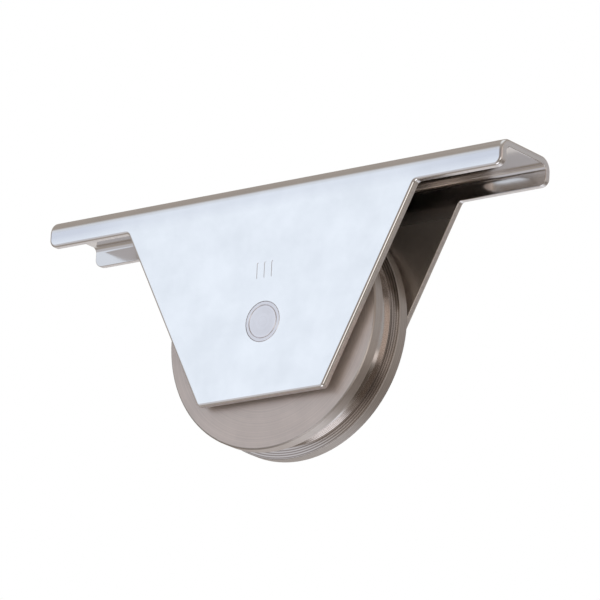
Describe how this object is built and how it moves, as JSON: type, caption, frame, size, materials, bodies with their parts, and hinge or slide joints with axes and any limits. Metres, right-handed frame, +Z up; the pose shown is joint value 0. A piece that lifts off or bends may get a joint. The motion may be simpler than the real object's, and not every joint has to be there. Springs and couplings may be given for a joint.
{
  "type": "grooved gate roller",
  "caption": "Grooved metal wheel on two ball bearings between the cheeks of a pressed channel frame, let into a sliding gate's bottom rail so that the gate rolls along a rail.",
  "frame": {"origin": "centre of the frame's top face, which bears on the gate's rail", "axes": "+X along the frame, +Y to the rear cheek along the wheel's axis, +Z up"},
  "size_m": [0.2, 0.03, 0.0975],
  "materials": {
    "stainless_sheet": "bright rolled sheet",
    "turned_steel": "satin, turned",
    "pin_steel": "satin",
    "spacer_steel": "turned",
    "bearing_steel": "ground and polished",
    "pressed_steel": "pressed strip"
  },
  "bodies": {
    "frame": {"frame": "stainless_sheet", "axle_pin": "pin_steel", "front_collar": "spacer_steel", "rear_collar": "spacer_steel", "bearing_spacer": "spacer_steel", "front_bearing_inner_ring": "bearing_steel", "rear_bearing_inner_ring": "bearing_steel"},
    "wheel": {"wheel": "turned_steel", "front_bearing_outer_ring": "bearing_steel", "front_bearing_shield_outboard": "bearing_steel", "front_bearing_shield_inboard": "bearing_steel", "rear_bearing_outer_ring": "bearing_steel", "rear_bearing_shield_outboard": "bearing_steel", "rear_bearing_shield_inboard": "bearing_steel"},
    "front_cage": {"front_bearing_balls": "bearing_steel", "front_bearing_cage_outboard": "bearing_steel", "front_bearing_cage_inboard": "bearing_steel", "front_bearing_cage_rivets": "bearing_steel"},
    "rear_cage": {"rear_bearing_balls": "bearing_steel", "rear_bearing_cage_outboard": "bearing_steel", "rear_bearing_cage_inboard": "bearing_steel", "rear_bearing_cage_rivets": "bearing_steel"}
  },
  "joints": [
    {"name": "wheel_spin", "type": "hinge", "parent": "frame", "child": "wheel", "pos_m": [0, 0, -0.0525], "axis": [0, 1, 0], "continuous": true},
    {"name": "front_cage_spin", "type": "hinge", "parent": "frame", "child": "front_cage", "pos_m": [0, 0, -0.0525], "axis": [0, 1, 0], "continuous": true},
    {"name": "rear_cage_spin", "type": "hinge", "parent": "frame", "child": "rear_cage", "pos_m": [0, 0, -0.0525], "axis": [0, 1, 0], "continuous": true}
  ],
  "couplings": [
    {"joint": "front_cage_spin", "follows": "wheel_spin", "ratio": 0.6013},
    {"joint": "rear_cage_spin", "follows": "wheel_spin", "ratio": 0.6013}
  ]
}
